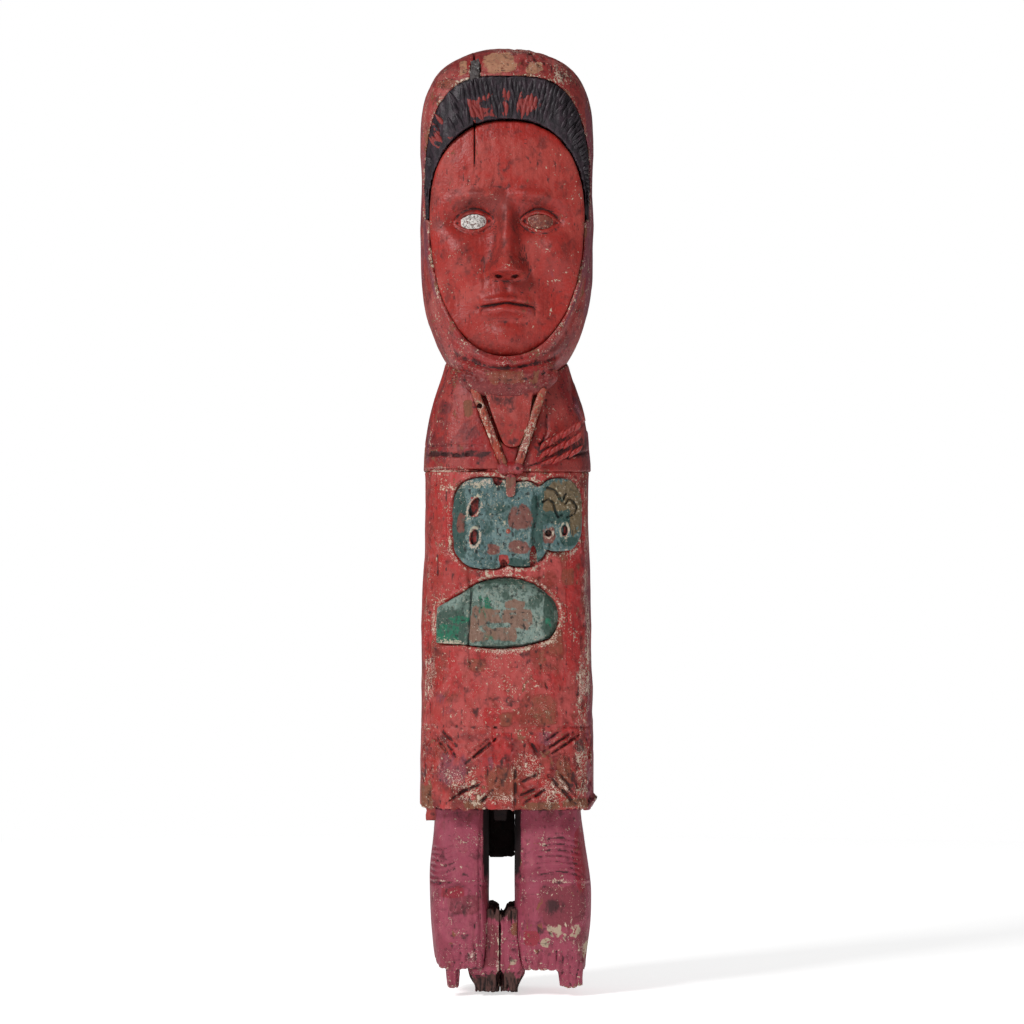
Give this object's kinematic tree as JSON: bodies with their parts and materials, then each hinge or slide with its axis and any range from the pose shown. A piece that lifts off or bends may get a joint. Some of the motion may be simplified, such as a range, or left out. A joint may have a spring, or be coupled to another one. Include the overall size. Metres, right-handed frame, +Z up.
{
  "type": "carved ancestor figure",
  "caption": "Painted timber figure of a hooded, cloaked person cut from a squared post, with pendants carved on its chest and two short legs over a broken plinth.",
  "frame": {"origin": "middle of the bounding box in plan, at the surface that the plinth stands on", "axes": "+Z up along the post, the figure faces -Y, its flat back faces +Y, +X to the viewer's right"},
  "size_m": [0.1745, 0.172, 0.943],
  "materials": {
    "cloak": "weathered red paint on timber, satin",
    "hood": "weathered red paint on timber, satin",
    "face": "red oxide paint on timber, soft sheen",
    "hair": "worn black paint over gouge cuts, matt",
    "eye_pale": "flaking pale paint, satin",
    "eye_dark": "brown-red paint with pale flecks, satin",
    "filler": "dry dark putty, matt",
    "throat": "pinkish red paint on timber, satin",
    "cord": "red paint with pale flaking edges, satin",
    "tiki": "worn blue-green paint on timber, satin",
    "club": "worn grey-green paint on timber, satin",
    "leg": "plum paint on timber, satin",
    "plinth": "split timber with remains of plum paint, matt"
  },
  "bodies": {
    "root": {"trunk_cloak": "cloak", "cloak_collar": "cloak", "head_hood": "hood", "hair_fringe": "hair", "face_mask": "face", "eye_left": "eye_pale", "eye_right": "eye_dark", "crown_filler": "filler", "chest_panel": "throat", "cord_left": "cord", "cord_right": "cord", "cord_knot": "cord", "cord_tab": "cord", "tiki_pendant": "tiki", "pendant_peg": "cord", "club_pendant": "club", "leg_left": "leg", "leg_right": "leg", "plinth_left": "plinth", "plinth_right": "plinth"}
  },
  "joints": []
}
